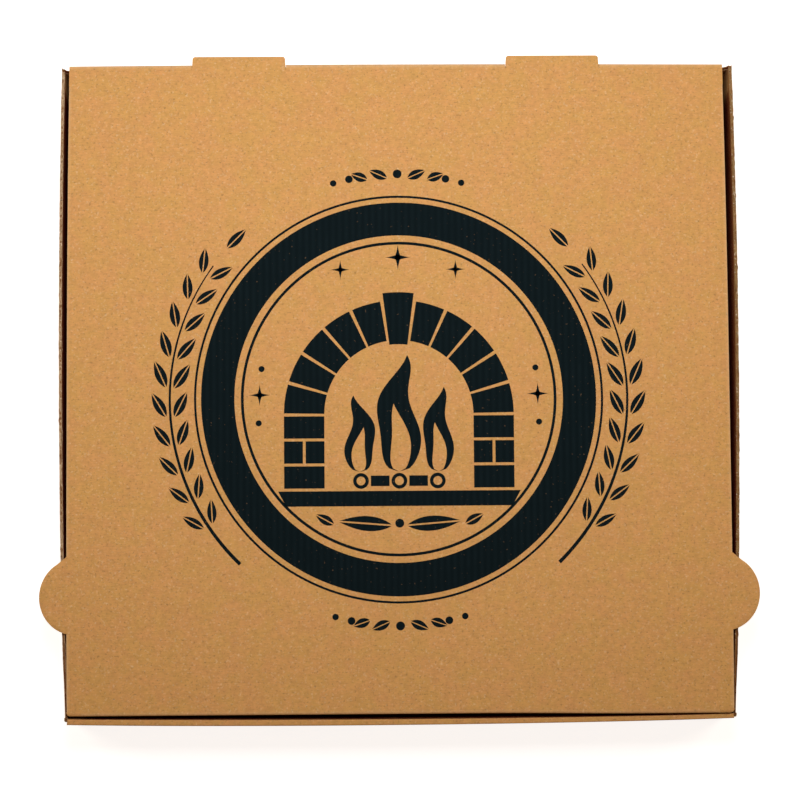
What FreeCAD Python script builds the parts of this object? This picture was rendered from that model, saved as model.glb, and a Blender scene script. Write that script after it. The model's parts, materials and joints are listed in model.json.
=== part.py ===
import FreeCAD, Part
import math
import os

# Flat pizza box folded from one sheet of corrugated board, closed, lying on its floor.
# Millimetres. +X is the right side, -Y the front, +Z up. The origin is under the middle of the floor.

V = FreeCAD.Vector

# Board
board = 1.6             # thickness of the corrugated board
crease = 0.4            # inside radius of a fold
layer_gap = 0.2         # air between two layers of the tray that lie together
play = 0.3              # air between the lid and the tray

# Tray
tray_width = 331.0      # across the side walls at the floor
tray_depth = 327.4      # front face to rear face at the floor
box_height = 40.0       # table to the top of the closed lid
side_out_rear = 2.3     # how far the top of a side wall leans out at its rear end
side_out_middle = 3.8   # the same at its middle
side_out_front = 0.3    # the same at its front end
front_out = 1.2         # how far the top of the front wall bows out at its middle
front_drop = 1.6        # rolled front edge below the top of the lid
inner_lean = 10.0       # slant of the inner layer of the front wall, degrees
corner_flap = 46.0      # length of the flaps at the ends of the side walls
corner_flap_drop = 3.0  # top of the rear corner flaps below the top of the side wall
corner_flap_cut = 9.0   # bevel at the tips of the corner flaps
lock_place = 82.0       # lock tabs of the front wall, from the middle of the box
lock_width = 34.0
lock_slope = 2.0        # how much narrower than its slot a lock tab is at its tip

# Lid
lid_depth = 322.7       # rear face of the box to the front edge of the lid
lid_bow = 0.9           # how far the long edges of the lid bow out at their middle
side_flap = 30.0        # depth of the side flaps below the lid
side_flap_lean = 2.0    # inward slant of the side flaps, degrees
side_flap_start = 9.0   # rear end of a side flap from the hinge line
side_flap_taper = 13.0  # how far the ends of a side flap run in towards its lower edge
tuck_flap = 31.0        # depth of the front flap below the lid
tuck_lean = 11.0        # inward slant of the front flap, degrees
tuck_inset = 7.0        # end of the front flap from the side of the lid
tuck_taper = 9.0        # how far its ends run in towards its lower edge
tuck_round = 6.0        # rounding of its lower corners

# Tabs behind the lid, cut out of the rear wall
tab_place = 78.5        # middle of a tab from the middle of the box
tab_width = 47.2        # at the hinge line
tab_length = 5.0        # behind the rear face
tab_slope = 0.9         # how far each side of a tab runs in towards its tip
tab_round = 1.0         # rounding of its corners

# Round ears of the lid, cut out of the side flaps
ear_place = 264.5       # centre of an ear in front of the rear face
ear_radius = 18.6
ear_inset = 4.3         # centre of an ear inside the edge of the lid
ear_flare = 1.8         # straight run that widens the ear at its rear side
ear_join = 30.0         # turn of the ear's arc before that run meets it, degrees

# Sizes that follow
fold_radius = crease + board              # outside radius of a fold
rear = tray_depth / 2                     # rear face
front = -tray_depth / 2                   # front face at the floor
inside_half = tray_width / 2 - board      # inner face of a side wall at the floor
panel_half = inside_half - play           # half width of the lid and of the front and rear walls
wall_top = box_height - board - play      # top edges of the side walls and the rear wall
hinge_y = rear - board / 2                # hinge line, in the middle of the board
hinge_z = box_height - board / 2
lid_low = box_height - board              # underside of the lid
lid_front = rear - lid_depth              # front edge of the lid
roll_inside = layer_gap / 2               # inside radius of the rolled front edge
roll_outside = roll_inside + board
front_top = box_height - front_drop
flap_rear_face = rear - board - layer_gap   # outer face of the rear corner flaps
flap_front_face = front + board + layer_gap  # outer face of the front corner flaps
side_flap_front = lid_front + fold_radius   # front end of a side flap of the lid
side_flap_rear = hinge_y - side_flap_start  # its rear end
side_flap_middle = (side_flap_front + side_flap_rear) / 2
near = 1e-6                                 # tolerance for picking out edges


def box(x0, x1, y0, y1, z0, z1):
    """Solid between two values on each axis."""
    return Part.makeBox(x1 - x0, y1 - y0, z1 - z0, V(x0, y0, z0))


def mirrored(shape):
    """The same shape on the other side of the box."""
    return shape.mirror(V(0, 0, 0), V(1, 0, 0))


def both_sides(shape):
    return [shape, mirrored(shape)]


def walk(start, heading, moves):
    """Middle line of a board seen edge on: the place and heading after each move.

    A move is a straight length, then a turn in degrees (left is positive) with an inside radius.
    """
    x, y = start
    states = []
    for length, turn, inside in moves:
        a = math.radians(heading)
        x, y = x + length * math.cos(a), y + length * math.sin(a)
        sign = math.copysign(1, turn)
        radius = inside + board / 2
        b = math.radians(heading + turn)
        x += sign * radius * (math.sin(b) - math.sin(a))
        y += sign * radius * (math.cos(a) - math.cos(b))
        heading += turn
        states.append((x, y, heading))
    return states


def board_section(start, heading, moves, place):
    """Closed wire round a board's section along its middle line; place puts it in space."""
    rails = {1: [], -1: []}
    x, y = start
    for (length, turn, inside), after in zip(moves, walk(start, heading, moves)):
        a = math.radians(heading)
        ex, ey = x + length * math.cos(a), y + length * math.sin(a)
        sign = math.copysign(1, turn)
        radius = inside + board / 2
        cx, cy = ex - sign * radius * math.sin(a), ey + sign * radius * math.cos(a)
        for side, rail in rails.items():
            shift_x, shift_y = -side * board / 2 * math.sin(a), side * board / 2 * math.cos(a)
            if length:
                rail.append(Part.LineSegment(place(x + shift_x, y + shift_y),
                                             place(ex + shift_x, ey + shift_y)))
            if turn:
                r = radius - sign * side * board / 2
                angles = [math.radians(heading + turn * f) for f in (0, 0.5, 1)]
                rail.append(Part.Arc(*[place(cx + sign * r * math.sin(b), cy - sign * r * math.cos(b))
                                       for b in angles]))
        x, y, heading = after
    first, last = rails[1], rails[-1]
    caps = [Part.LineSegment(first[-1].EndPoint, last[-1].EndPoint),
            Part.LineSegment(last[0].StartPoint, first[0].StartPoint)]
    curves = first + caps[:1] + last[::-1] + caps[1:]
    return Part.Wire([c.toShape() for c in curves])


def folded_along_x(start, heading, moves, x0, x1):
    """Board folded about lines that run left to right; start and moves are seen from the side."""
    wire = board_section(start, heading, moves, lambda y, z: V(x0, y, z))
    return Part.Face(wire).extrude(V(x1 - x0, 0, 0))


def folded_along_y(start, heading, moves, y0, y1):
    """Board folded about lines that run front to back; start and moves are seen from the front."""
    wire = board_section(start, heading, moves, lambda x, z: V(x, y0, z))
    return Part.Face(wire).extrude(V(0, y1 - y0, 0))


def prism_x(points, x0, x1):
    """Prism along X over a polygon of (y, z) points."""
    wire = Part.makePolygon([V(x0, y, z) for y, z in points + points[:1]])
    return Part.Face(wire).extrude(V(x1 - x0, 0, 0))


def prism_y(points, y0, y1):
    """Prism along Y over a polygon of (x, z) points."""
    wire = Part.makePolygon([V(x, y0, z) for x, z in points + points[:1]])
    return Part.Face(wire).extrude(V(0, y1 - y0, 0))


def fused(shapes):
    """One solid out of pieces of the sheet that meet."""
    return shapes[0].multiFuse(shapes[1:]).removeSplitter()


def arc_radius(half_span, rise):
    """Radius of a flat arc from half its span and its rise."""
    return (half_span ** 2 + rise ** 2) / (2 * rise)


def bowed(wire, centre, sweep):
    """Section of a board turned both ways about a far upright axis, in degrees."""
    face = Part.Face(wire)
    face.rotate(centre, V(0, 0, 1), -sweep)
    return face.revolve(centre, V(0, 0, 1), 2 * sweep)


# The front wall is a roll: an outer layer whose top bows out in a flat arc, a tight turn along that
# arc and a slanted inner layer that hangs from it.

bow_radius = arc_radius(panel_half, front_out)
bow_centre = front - front_out + bow_radius
roll_start = front_top - roll_outside


def bow_y(inset, x):
    """Y of the bowed line that lies a given distance behind the roll's outer face."""
    return bow_centre - math.sqrt((bow_radius - inset) ** 2 - x ** 2)


def roll_profile():
    """Start and moves of the roll and the inner layer, seen from the side at the box's middle."""
    start = (bow_y(board / 2, 0), roll_start)
    roll = (0, inner_lean - 180, roll_inside)
    _, end_z, _ = walk(start, 90, [roll])[-1]
    slant = math.radians(inner_lean)
    reach = end_z - board / 2 * math.sin(slant) - board - layer_gap
    return start, [roll, (reach / math.cos(slant), 0, 0)]


def outer_layer():
    """Outer layer of the front wall, straight at the fold and bowed at the roll."""
    ends = panel_half * (bow_radius - board) / bow_radius

    def strip(outer, inner):
        curves = [outer, Part.LineSegment(outer.EndPoint, inner.EndPoint), inner,
                  Part.LineSegment(inner.StartPoint, outer.StartPoint)]
        return Part.Wire([c.toShape() for c in curves])

    def straight(y):
        return Part.LineSegment(V(-panel_half, y, fold_radius), V(panel_half, y, fold_radius))

    def curved(inset, half):
        return Part.Arc(*[V(x, bow_y(inset, x), roll_start) for x in (-half, 0, half)])

    return Part.makeLoft([strip(straight(front), straight(front + board)),
                          strip(curved(0, panel_half), curved(board, ends))], True, True)


def roll():
    """Rolled edge and inner layer, turned about the far centre of the bow.

    The inner layer is cut shorter at both ends, beside the folds of the side walls.
    """
    start, moves = roll_profile()
    wire = board_section(start, 90, moves, lambda y, z: V(0, y, z))
    rolled = bowed(wire, V(0, bow_centre, 0), math.degrees(math.asin(panel_half / bow_radius)))
    end = tray_width / 2 - fold_radius - layer_gap
    for waste in both_sides(box(end, tray_width / 2, flap_front_face - layer_gap, 0, 0, box_height)):
        rolled = rolled.cut(waste)
    return rolled


def front_wall():
    fold = folded_along_x((front + fold_radius, board / 2), 180, [(0, -90, crease)],
                          -panel_half, panel_half)
    return fused([fold, outer_layer(), roll()])


def lock_line(x):
    """Y of the inner layer's lower end at a place along the front wall."""
    start, moves = roll_profile()
    return bow_y(board / 2 + walk(start, 90, moves)[-1][0] - start[0], x)


def lock_tab():
    """Tab of the inner layer that stands in the floor's slot and keeps the roll shut."""
    y = lock_line(lock_place)
    half = lock_width / 2
    low, high = layer_gap, 2 * board
    outline = [(lock_place - half, high), (lock_place - half, board),
               (lock_place - half + lock_slope, low), (lock_place + half - lock_slope, low),
               (lock_place + half, board), (lock_place + half, high)]
    return prism_y(outline, y - board / 2, y + board / 2)


def lock_slot():
    y = lock_line(lock_place)
    half = lock_width / 2 + play
    return box(lock_place - half, lock_place + half, y - board / 2 - play, y + board / 2 + play,
               -board, 2 * board)


def plan_curve(points):
    """Smooth curve through points in plan."""
    curve = Part.BSplineCurve()
    curve.interpolate(points)
    return curve


def side_plan(z, out_rear, out_middle, out_front):
    """Plan of the right side wall with its two corner flaps, at one height."""
    x_rear, x_middle, x_front = (tray_width / 2 + out for out in (out_rear, out_middle, out_front))
    y0, y1 = flap_front_face, flap_rear_face
    r, q = fold_radius, fold_radius * (1 - math.sqrt(0.5))
    i, s = crease, crease * (1 - math.sqrt(0.5))

    def p(x, y):
        return V(x, y, z)

    def rail(inset, radius, sag):
        """Outer or inner line of the plan, from the rear flap's tip to the front flap's tip."""
        xr, xm, xf = x_rear - inset, x_middle - inset, x_front - inset
        ya, yb = y1 - inset, y0 + inset
        return [Part.LineSegment(p(x_rear - r - corner_flap, ya), p(xr - radius, ya)),
                Part.Arc(p(xr - radius, ya), p(xr - sag, ya - sag), p(xr, ya - radius)),
                plan_curve([p(xr, ya - radius), p(xm, (y0 + y1) / 2), p(xf, yb + radius)]),
                Part.Arc(p(xf, yb + radius), p(xf - sag, yb + sag), p(xf - radius, yb)),
                Part.LineSegment(p(xf - radius, yb), p(x_front - r - corner_flap, yb))]

    outer, inner = rail(0, r, q), rail(board, i, s)
    caps = [Part.LineSegment(outer[-1].EndPoint, inner[-1].EndPoint),
            Part.LineSegment(inner[0].StartPoint, outer[0].StartPoint)]
    curves = outer + caps[:1] + inner[::-1] + caps[1:]
    return Part.Wire([c.toShape() for c in curves])


def front_flap_top():
    """Height at which the front corner flap still fits between the two layers of the front wall."""
    start, moves = roll_profile()
    _, roll_end, _ = walk(start, 90, moves[:1])[-1]
    tip = tray_width / 2 - fold_radius - corner_flap
    room = board + layer_gap + front - bow_y(0, tip)
    return roll_end - room / math.tan(math.radians(inner_lean))


def side_wall():
    """Right side wall: straight at the floor, bowed out at its cut top edge, flaps at both ends."""
    wall = Part.makeLoft([side_plan(fold_radius, 0, 0, 0),
                          side_plan(wall_top, side_out_rear, side_out_middle, side_out_front)],
                         True, True)
    root = tray_width / 2 - fold_radius
    tip = root - corner_flap
    above = box_height
    y0, y1 = flap_front_face - board, flap_rear_face + board
    rear_top = wall_top - corner_flap_drop
    rear_waste = [(tip - board, rear_top - corner_flap_cut), (tip, rear_top - corner_flap_cut),
                  (tip + corner_flap_cut, rear_top), (root, rear_top), (root, above),
                  (tip - board, above)]
    low_waste = [(tip - board, 0), (tip + corner_flap_cut, 0), (tip + corner_flap_cut, fold_radius),
                 (tip, fold_radius + corner_flap_cut), (tip - board, fold_radius + corner_flap_cut)]
    top = front_flap_top()
    front_waste = [(tip - board, top - corner_flap_cut), (tip, top - corner_flap_cut),
                   (tip + corner_flap_cut, top), (root, top), (root, above), (tip - board, above)]
    wall = wall.cut(prism_y(rear_waste, 0, y1))
    wall = wall.cut(prism_y(front_waste, y0, 0))
    return wall.cut(prism_y(low_waste, y0, y1))


def side_fold():
    """Fold between the floor and the right side wall."""
    return folded_along_y((tray_width / 2 - fold_radius, board / 2), 0, [(0, 90, crease)],
                          flap_front_face + fold_radius, flap_rear_face - fold_radius)


def tab(grow):
    """Right rear tab of the closed lid, grown all round by a clearance."""
    half = tab_width / 2 + grow
    tip = hinge_y + board / 2 + tab_length + grow
    root = hinge_y - board
    inward = tab_slope * (tip - root) / (tab_length + board)
    outline = [V(tab_place - half, root, lid_low), V(tab_place - half + inward, tip, lid_low),
               V(tab_place + half - inward, tip, lid_low), V(tab_place + half, root, lid_low)]
    plate = Part.Face(Part.makePolygon(outline + outline[:1])).extrude(V(0, 0, board))
    corners = [e for e in plate.Edges if abs(e.Vertexes[0].X - e.Vertexes[-1].X) < near
               and min(v.Y for v in e.Vertexes) > tip - near]
    return plate.makeFillet(tab_round, corners)


def vent():
    """Window that a tab leaves in the rear wall: the tab's own outline, turned down at the hinge."""
    window = tab(play)
    window = window.fuse(window.translated(V(0, 0, board))).fuse(window.translated(V(0, 0, -board)))
    window.rotate(V(0, hinge_y, hinge_z), V(1, 0, 0), -90)
    return window


def rear_wall():
    rise = wall_top - fold_radius
    wall = folded_along_x((rear - fold_radius, board / 2), 0, [(0, 90, crease), (rise, 0, 0)],
                          -panel_half, panel_half)
    for window in both_sides(vent()):
        wall = wall.cut(window)
    return wall


def tray():
    floor_half = tray_width / 2 - fold_radius
    floor = box(-floor_half, floor_half, front + fold_radius, rear - fold_radius, 0, board)
    for slot in both_sides(lock_slot()):
        floor = floor.cut(slot)
    return fused([floor, front_wall(), rear_wall()] + both_sides(side_fold())
                 + both_sides(side_wall()) + both_sides(lock_tab()))


lid_bow_radius = arc_radius((side_flap_rear - side_flap_front) / 2, lid_bow)
lid_bow_centre = panel_half + lid_bow - lid_bow_radius


def edge_x(inset, y):
    """X of the lid's bowed right edge, or of the line a given distance inside it."""
    return lid_bow_centre + math.sqrt((lid_bow_radius - inset) ** 2 - (y - side_flap_middle) ** 2)


def ear_outline(place, back):
    """Closed wire round an ear.

    place puts a point in space: u runs back from the ear's centre, v out from the edge of the lid.
    The outline goes on inside the edge as far as back.
    """
    chord = math.sqrt(ear_radius ** 2 - ear_inset ** 2)
    join = math.radians(ear_join)
    rear_end = place(chord + ear_flare, 0)
    flare_end = place(ear_radius * math.cos(join), ear_radius * math.sin(join) - ear_inset)
    front_end = place(-chord, 0)
    curves = [Part.LineSegment(rear_end, flare_end),
              Part.Arc(flare_end, place(0, ear_radius - ear_inset), front_end),
              Part.LineSegment(front_end, place(-chord, -back)),
              Part.LineSegment(place(-chord, -back), place(chord + ear_flare, -back)),
              Part.LineSegment(place(chord + ear_flare, -back), rear_end)]
    return Part.Wire([c.toShape() for c in curves])


def ear():
    """Right ear, in the plane of the lid."""
    middle = rear - ear_place
    wire = ear_outline(lambda u, v: V(panel_half + v, middle + u, lid_low), fold_radius)
    return Part.Face(wire).extrude(V(0, 0, board))


def ear_notch():
    """What the ear leaves out of the side flap and its fold, right through the slanted flap."""
    middle = rear - ear_place
    reach = 2 * fold_radius
    wire = ear_outline(lambda u, v: V(panel_half - reach, middle + u, box_height - v), board)
    return Part.Face(wire).extrude(V(2 * reach, 0, 0))


def lid_side_flap():
    """Right side flap with its bowed fold, its slanted ends and the ear's notch.

    It is turned a little too long, and its outline then cuts its ends square.
    """
    start = (edge_x(fold_radius, side_flap_middle), hinge_z)
    wire = board_section(start, 0, [(0, -90 - side_flap_lean, crease), (side_flap, 0, 0)],
                         lambda x, z: V(x, side_flap_middle, z))
    half = (side_flap_rear - side_flap_front) / 2 + board
    flap = bowed(wire, V(lid_bow_centre, side_flap_middle, 0),
                 math.degrees(math.asin(half / lid_bow_radius)))
    low = lid_low - side_flap - board
    outline = [(side_flap_front, box_height), (side_flap_front, lid_low),
               (side_flap_front + side_flap_taper, low), (side_flap_rear - side_flap_taper, low),
               (side_flap_rear, lid_low), (side_flap_rear, box_height)]
    return flap.common(prism_x(outline, 0, tray_width)).cut(ear_notch())


def lid_tuck_flap():
    """Front flap with its fold; its ends run in and its lower corners are round."""
    half = panel_half - tuck_inset
    flap = folded_along_x((lid_front + fold_radius, hinge_z), 180,
                          [(0, 90 + tuck_lean, crease), (tuck_flap, 0, 0)], -half, half)
    low = lid_low - crease - tuck_flap * math.cos(math.radians(tuck_lean)) - board
    outline = [(-half, box_height), (-half, lid_low), (-half + tuck_taper, low),
               (half - tuck_taper, low), (half, lid_low), (half, box_height)]
    plate = prism_y(outline, lid_front - board, lid_front + tuck_flap)
    lower = [e for e in plate.Edges if max(v.Z for v in e.Vertexes) < low + near
             and abs(e.Vertexes[0].Y - e.Vertexes[-1].Y) > board]
    return flap.common(plate.makeFillet(tuck_round, lower))


def lid_panel(fold_x):
    """Flat panel from the front fold to the hinge line; its long edges bow out to the side folds."""
    middle_x = edge_x(fold_radius, side_flap_middle)

    def side(sign):
        points = [V(sign * x, y, lid_low) for x, y in (
            (fold_x, side_flap_front), (middle_x, side_flap_middle), (fold_x, side_flap_rear),
            (fold_x, hinge_y))]
        return [Part.Arc(*points[:3]), Part.LineSegment(*points[2:])], points

    (right, right_points), (left, left_points) = side(1), side(-1)
    rear_line = Part.LineSegment(right_points[-1], left_points[-1])
    front_line = Part.LineSegment(left_points[0], right_points[0])
    wire = Part.Wire([c.toShape() for c in right + [rear_line] + left[::-1] + [front_line]])
    return Part.Face(wire).extrude(V(0, 0, board))


def lid():
    fold_x = edge_x(fold_radius, side_flap_front)
    bead = Part.makeCylinder(board / 2, 2 * panel_half, V(-panel_half, hinge_y, hinge_z), V(1, 0, 0))
    rear_edge = box(fold_x, panel_half, side_flap_rear, hinge_y, lid_low, box_height)
    front_edge = box(panel_half - tuck_inset, fold_x, lid_front, side_flap_front, lid_low, box_height)
    corner = Part.makeCylinder(fold_radius, board, V(fold_x, side_flap_front, lid_low))
    pieces = [lid_panel(fold_x), bead, lid_tuck_flap()]
    for piece in (lid_side_flap(), rear_edge, front_edge, corner, ear(), tab(0)):
        pieces += both_sides(piece)
    return fused(pieces)


def main():
    os.makedirs("parts", exist_ok=True)
    for name, shape in (("tray", tray()), ("lid", lid())):
        print(name, "solids", len(shape.Solids), "valid", shape.isValid(), "volume", round(shape.Volume))
        shape.exportStep("parts/" + name + ".step")


main()
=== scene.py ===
"""Pizza box of kraft corrugated board, closed, with a dark flexo print on its lid.

Every stretch of board is built as the real one is: two paper liners and the fluted medium between
them, cut flat and then folded. Sizes are in millimetres until a mesh is finished.
"""

import json
import logging
import math
from collections.abc import Callable, Sequence
from dataclasses import dataclass, field
from enum import Enum, IntEnum
from functools import partial

import bmesh
import bpy
from bmesh.types import BMesh, BMVert
from bpy.types import ID, Material, NodeSocket, NodeTree, Object, World
from mathutils import Euler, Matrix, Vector, noise

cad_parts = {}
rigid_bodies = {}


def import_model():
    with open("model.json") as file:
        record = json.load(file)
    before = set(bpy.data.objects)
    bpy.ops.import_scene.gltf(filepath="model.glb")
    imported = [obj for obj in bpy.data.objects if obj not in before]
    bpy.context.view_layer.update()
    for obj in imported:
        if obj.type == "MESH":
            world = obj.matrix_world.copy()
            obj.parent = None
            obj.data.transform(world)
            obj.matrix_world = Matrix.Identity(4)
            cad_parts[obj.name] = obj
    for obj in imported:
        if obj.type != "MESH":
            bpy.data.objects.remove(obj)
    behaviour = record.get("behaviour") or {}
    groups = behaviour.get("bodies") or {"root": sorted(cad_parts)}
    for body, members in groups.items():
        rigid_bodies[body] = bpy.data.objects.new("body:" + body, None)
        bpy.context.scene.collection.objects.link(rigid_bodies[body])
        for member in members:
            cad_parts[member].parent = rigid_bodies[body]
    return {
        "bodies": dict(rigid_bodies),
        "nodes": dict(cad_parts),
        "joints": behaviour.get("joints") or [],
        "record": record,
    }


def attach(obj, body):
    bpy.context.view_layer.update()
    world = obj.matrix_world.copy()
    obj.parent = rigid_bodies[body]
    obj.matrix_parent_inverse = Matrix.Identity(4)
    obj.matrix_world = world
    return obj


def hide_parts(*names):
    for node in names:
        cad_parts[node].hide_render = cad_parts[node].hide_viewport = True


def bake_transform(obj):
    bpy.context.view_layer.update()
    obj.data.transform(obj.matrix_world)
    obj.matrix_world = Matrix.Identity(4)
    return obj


MM = 0.001
LOG = logging.getLogger("pizza_box")
SHEET_UV = "Sheet"
CREASE = "crease"

Point = tuple[float, float]
Triple = tuple[float, float, float]
Place = Callable[[float, float, float], Vector]
Curve = Callable[[float], Vector]
AddNode = Callable[..., NodeSocket | None]


class Flutes(Enum):
    """Which way the flutes run in a stretch of board."""

    ALONG_PATH = "along the path, across the fold"
    ALONG_FOLD = "along the fold"


class Slot(IntEnum):
    """Material slots of a stretch of board."""

    LINER = 0
    CUT = 1
    MEDIUM = 2


class Side(Enum):
    """The two sides of the box, as the sign of X."""

    LEFT = -1
    RIGHT = 1

    @property
    def label(self) -> str:
        """The side's name in a piece's name."""
        return self.name.lower()


def through(first: float, middle: float, last: float, t: float) -> float:
    """Parabola through three values at t = -1, 0 and 1."""
    return middle * (1 - t * t) + last * t * (t + 1) / 2 + first * t * (t - 1) / 2


def clamp(value: float) -> float:
    """Keep a value between 0 and 1."""
    return min(1.0, max(0.0, value))


def smooth(value: float, low: float, high: float) -> float:
    """Ease from 0 at low to 1 at high."""
    t = clamp((value - low) / (high - low))
    return t * t * (3 - 2 * t)


@dataclass(frozen=True)
class Board:
    """Fine corrugated board with E flutes, in millimetres."""

    thickness: float = 1.6
    liner: float = 0.28
    medium: float = 0.2
    pitch: float = 3.3
    crease: float = 0.4
    film: float = 0.04

    @property
    def half(self) -> float:
        """Half the board's thickness."""
        return self.thickness / 2

    @property
    def fold(self) -> float:
        """Outside radius of a fold."""
        return self.crease + self.thickness

    @property
    def wave(self) -> float:
        """Height of the medium's wave above the middle of the board."""
        return self.half - self.liner - self.medium / 2


@dataclass(frozen=True)
class Sizes:
    """Sizes of the folded box, in millimetres, in the frame's axes.

    The values of out_left and out_right are for the rear, the middle and the front of a wall's top,
    those of rear_out for the left, the middle and the right of the rear fold.
    """

    board: Board = Board()
    width: float = 331.0
    depth: float = 327.4
    height: float = 40.0
    layer_gap: float = 0.2
    play: float = 0.3
    slit: float = 0.05
    out_left: Triple = (2.1, 3.2, 0.0)
    out_right: Triple = (3.3, 4.2, 0.0)
    rear_out: Triple = (0.75, 1.2, 0.45)
    crush: float = 0.6
    crush_span: Point = (125.0, 158.0)
    crush_height: float = 4.0
    free_corner: float = 3.8
    corner_poke: float = 2.6
    poke_start: float = 0.7
    lid_out: float = 1.0
    lid_out_middle: float = -20.0
    lid_out_reach: float = 184.0
    lid_nose: float = 0.7
    nose_reach: float = 60.0
    nose_span: Point = (0.25, 0.75)
    front_out: float = 1.2
    front_drop: float = 1.6
    roll_over: float = 0.8
    roll_press: Triple = (0.05, 0.35, 0.8)
    roll_back: float = 0.4
    corner_press: Point = (0.5, 1.6)
    inner_lean: float = 10.0
    corner_flap: float = 46.0
    corner_drop: float = 3.0
    corner_cut: float = 9.0
    lock_place: float = 82.0
    lock_width: float = 34.0
    lock_slope: float = 2.0
    lock_overlap: float = 0.6
    lid_depth: float = 322.7
    side_flap: float = 30.0
    side_flap_lean: float = 2.0
    side_flap_start: float = 9.0
    side_flap_taper: float = 13.0
    tuck_flap: float = 31.0
    tuck_lean: float = 11.0
    tuck_inset: float = 7.0
    tuck_taper: float = 9.0
    tab_place: float = 78.5
    tab_shift: float = -0.4
    tab_width: float = 47.0
    tab_length: float = 5.0
    tab_slope: float = 0.5
    ear_place: float = 264.5
    ear_radius: float = 18.56
    ear_inset: float = 4.3
    ear_flare: float = 1.8

    @property
    def rear(self) -> float:
        """Y of the rear face."""
        return self.depth / 2

    @property
    def front(self) -> float:
        """Y of the front face at the floor."""
        return -self.depth / 2

    @property
    def panel_half(self) -> float:
        """Half the width of the lid, the front wall and the rear wall."""
        return self.width / 2 - self.board.thickness - self.play

    @property
    def wall_top(self) -> float:
        """Z of the side walls' cut edges."""
        return self.height - self.board.thickness - self.play

    @property
    def flap_face(self) -> float:
        """Distance of the corner flaps' outer faces from the middle of the box."""
        return self.rear - self.board.thickness - self.layer_gap

    @property
    def wall_half(self) -> float:
        """Half the length of a side wall between the folds of its corner flaps."""
        return self.flap_face - self.board.fold

    @property
    def hinge(self) -> Point:
        """Y and Z of the hinge line, in the middle of the board."""
        return self.rear - self.board.half, self.height - self.board.half

    @property
    def lid_front(self) -> float:
        """Y of the lid's front edge."""
        return self.rear - self.lid_depth

    @property
    def roll_start(self) -> float:
        """Z at which the front wall begins to turn over."""
        return self.height - self.front_drop - self.layer_gap / 2 - self.board.thickness

    @property
    def ear_y(self) -> float:
        """Y of the ears' middle."""
        return self.rear - self.ear_place

    @property
    def ear_chord(self) -> float:
        """Half the width of an ear at the lid's edge."""
        return math.sqrt(self.ear_radius ** 2 - self.ear_inset ** 2)

    @property
    def ear_angle(self) -> float:
        """Angle in radians by which an ear is more than half a circle, at each end."""
        return math.asin(self.ear_inset / self.ear_radius)

    def side_out(self, y: float, height: float, side: Side) -> float:
        """How far a side wall stands out at a place along it and a height."""
        rear, middle, front = self.out_left if side is Side.LEFT else self.out_right
        top = through(front, middle, rear, y / self.flap_face)
        return top * max(0.0, height - self.board.fold) / (self.wall_top - self.board.fold)

    def rear_bow(self, x: float) -> float:
        """How far the rear fold stands out at a place along it."""
        return through(*self.rear_out, x / self.panel_half)

    def front_bow(self, x: float) -> float:
        """How far the top of the front wall stands out at a place along it."""
        return self.front_out * (1 - (x / self.panel_half) ** 2)

    def wall_crush(self, y: float, height: float, inward: float) -> float:
        """How far a side wall is pressed in near its front end; inward is 0 outside and 1 inside."""
        near_top = smooth(height, self.wall_top - self.crush_height, self.wall_top)
        return self.crush * smooth(-y, *self.crush_span) * near_top * (1 - inward)

    def roll_crush(self, x: float, y: float, height: float) -> float:
        """How far the rolled front edge is pressed flat, most at its right end.

        Args:
            x: Place along the edge.
            y: Depth of the point.
            height: Height above the table.

        Returns:
            The shift towards the roll's inner face.
        """
        t = clamp((x / self.panel_half + 1) / 2)
        # The left end is dented, and the right end is trodden down and back
        base, dent, press = self.roll_press
        most = base + dent * (1 - t) ** 9 + press * t ** 1.5
        inward = clamp((y - self.front) / (2 * self.board.thickness + self.layer_gap))
        return (most * (1 - inward) + self.roll_back * t ** 12) * min(1.0, height / self.roll_start)

    def poke(self, point: Vector) -> Vector:
        """Push the free part of a rear corner outwards, where the rear wall doesn't hold it."""
        free = clamp((abs(point.x) - self.panel_half) / self.free_corner)
        near = max(0.0, (point.y / self.flap_face - self.poke_start) / (1 - self.poke_start))
        return point + Vector((0, self.corner_poke * free * near ** 2 * point.z / self.wall_top, 0))

    def bulge(self, point: Vector) -> Vector:
        """Push the lid's long edges outwards, as its side flaps do, and its right front end forwards.

        The ears' tips stay in place.
        """
        t = (point.y - self.lid_out_middle) / self.lid_out_reach
        reach = self.panel_half - self.ear_inset + self.ear_radius
        x = abs(point.x)
        share = min(x / self.panel_half, max(0.0, (reach - x) / (reach - self.panel_half)))
        shift = self.lid_out * max(0.0, 1 - abs(t) ** 3) * share
        near = max(0.0, 1 - (point.y - self.lid_front) / self.nose_reach) ** 2
        nose = self.lid_nose * near * smooth(point.x / self.panel_half, *self.nose_span)
        return point + Vector((math.copysign(shift, point.x), -nose, 0))


def linear(hex_colour: str) -> tuple[float, float, float, float]:
    """Turn an sRGB hex colour, with its hash sign, to linear red, green, blue and an alpha of one."""
    parts = [int(hex_colour[i:i + 2], 16) / 255 for i in (1, 3, 5)]
    r, g, b = (c / 12.92 if c <= 0.04045 else ((c + 0.055) / 1.055) ** 2.4 for c in parts)
    return r, g, b, 1.0


def add_node(tree: NodeTree, kind: str, inputs: dict[str | int, object] | None = None,
             out: str | int = 0, **settings: object) -> NodeSocket | None:
    """Add a node with its settings, values and links.

    Args:
        tree: The node tree that gets the node.
        kind: Blender's type name of the node.
        inputs: Input name or number to a value, or to the output socket that is linked to it.
        out: Name or number of the output that is wanted.
        **settings: Attributes of the node.

    Returns:
        The output socket, or None for a node that has none.
    """
    node = tree.nodes.new(kind)
    for key, value in settings.items():
        setattr(node, key, value)
    for key, value in (inputs or {}).items():
        if isinstance(value, NodeSocket):
            tree.links.new(value, node.inputs[key])
        else:
            node.inputs[key].default_value = value
    return node.outputs[out] if node.outputs else None


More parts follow.
